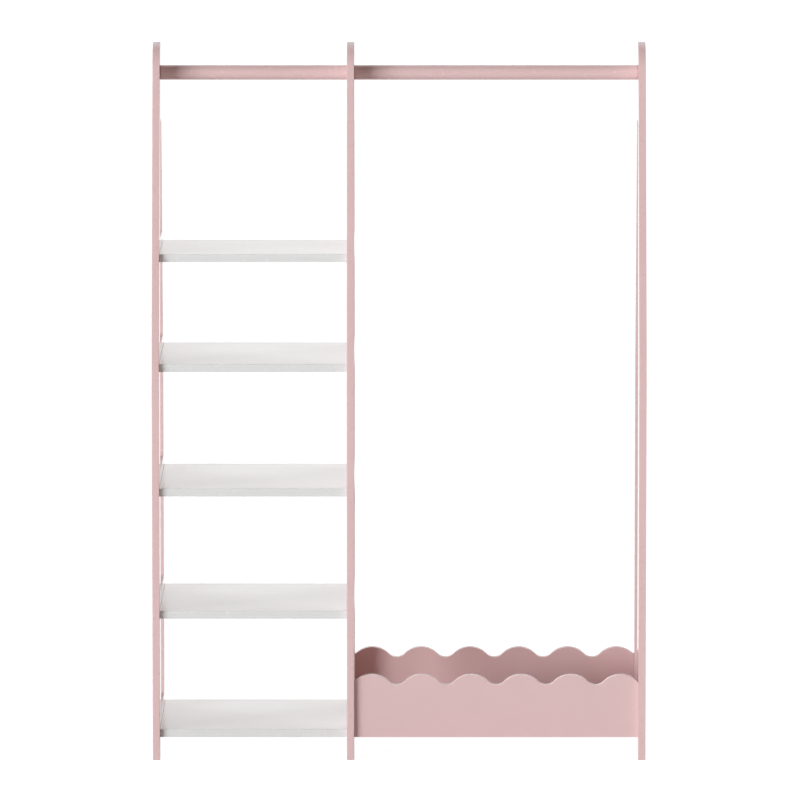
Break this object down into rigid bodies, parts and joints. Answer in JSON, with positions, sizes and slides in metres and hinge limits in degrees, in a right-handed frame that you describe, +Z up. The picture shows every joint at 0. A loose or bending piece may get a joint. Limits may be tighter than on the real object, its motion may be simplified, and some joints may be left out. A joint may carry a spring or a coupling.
{
  "type": "children's open wardrobe",
  "caption": "Open children's wardrobe: arched side frames carry stacked shelves on one side, and hanging rods over a scalloped storage box on the other.",
  "frame": {"origin": "on the floor, at the middle of the width and of the depth", "axes": "+X to the right seen from the front, +Y to the back, +Z up"},
  "size_m": [1, 0.4, 1.445],
  "materials": {
    "pink_paint": "satin pink paint on smooth board",
    "white_board": "satin white laminate on board",
    "beech": "raw turned beech",
    "zinc_steel": "zinc plated",
    "white_cover": "matte",
    "pink_cover": "matte"
  },
  "bodies": {
    "root": {"frame_left": "pink_paint", "frame_middle": "pink_paint", "frame_right": "pink_paint", "rod_short": "pink_paint", "rod_long": "pink_paint", "box_front": "pink_paint", "box_rear": "pink_paint", "box_bottom": "pink_paint", "shelf_1": "white_board", "shelf_2": "white_board", "shelf_3": "white_board", "shelf_4": "white_board", "shelf_5": "white_board", "rod_inserts": "zinc_steel", "rod_bolts": "zinc_steel", "rod_joining_stud": "zinc_steel", "rod_bolt_caps": "pink_cover", "shelf_cam_bolts": "zinc_steel", "shelf_cams": "zinc_steel", "shelf_cam_covers": "white_cover", "shelf_dowels": "beech", "box_cam_bolts": "zinc_steel", "box_cams": "zinc_steel", "box_cam_covers": "pink_cover", "box_dowels": "beech"}
  },
  "joints": []
}
